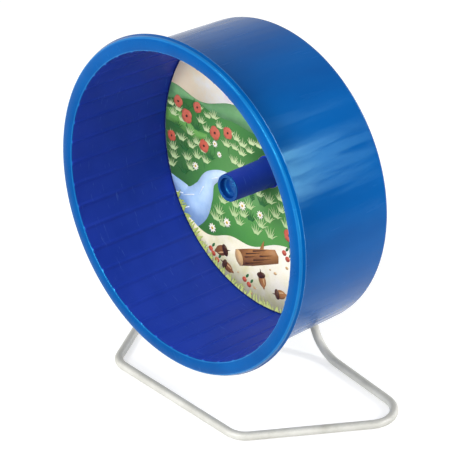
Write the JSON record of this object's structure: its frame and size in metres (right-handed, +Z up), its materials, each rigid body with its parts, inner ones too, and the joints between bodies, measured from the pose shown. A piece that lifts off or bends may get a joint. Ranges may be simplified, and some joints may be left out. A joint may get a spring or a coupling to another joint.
{
  "type": "rodent exercise wheel",
  "caption": "Open-fronted plastic drum with a ribbed running surface, a printed card on its back wall and a capped hub, spinning on an axle held by a bent wire floor stand.",
  "frame": {"origin": "on the surface the stand rests on, under the middle of the whole object's footprint", "axes": "+Z up, +Y from the drum's open front to its back along the axle, +X to the right seen from the front"},
  "size_m": [0.2016, 0.1111, 0.2322],
  "materials": {
    "blue_plastic": "moulded gloss",
    "printed_card": "varnished print on board",
    "bush_nylon": "moulded nylon",
    "bright_steel": "bright drawn steel",
    "spring_steel": "zinc-plated spring steel",
    "coated_wire": "white dipped coating"
  },
  "bodies": {
    "stand": {"stand_wire": "coated_wire", "axle": "bright_steel", "star_nut": "spring_steel", "front_washer": "bright_steel", "rear_washer": "bright_steel", "spacer_sleeve": "bright_steel"},
    "wheel": {"drum": "blue_plastic", "insert_card": "printed_card", "hub_cap": "blue_plastic", "front_bush": "bush_nylon", "rear_bush": "bush_nylon"}
  },
  "joints": [
    {"name": "wheel_spin", "type": "hinge", "parent": "stand", "child": "wheel", "pos_m": [0, 0, 0.1314], "axis": [0, 1, 0], "continuous": true}
  ]
}
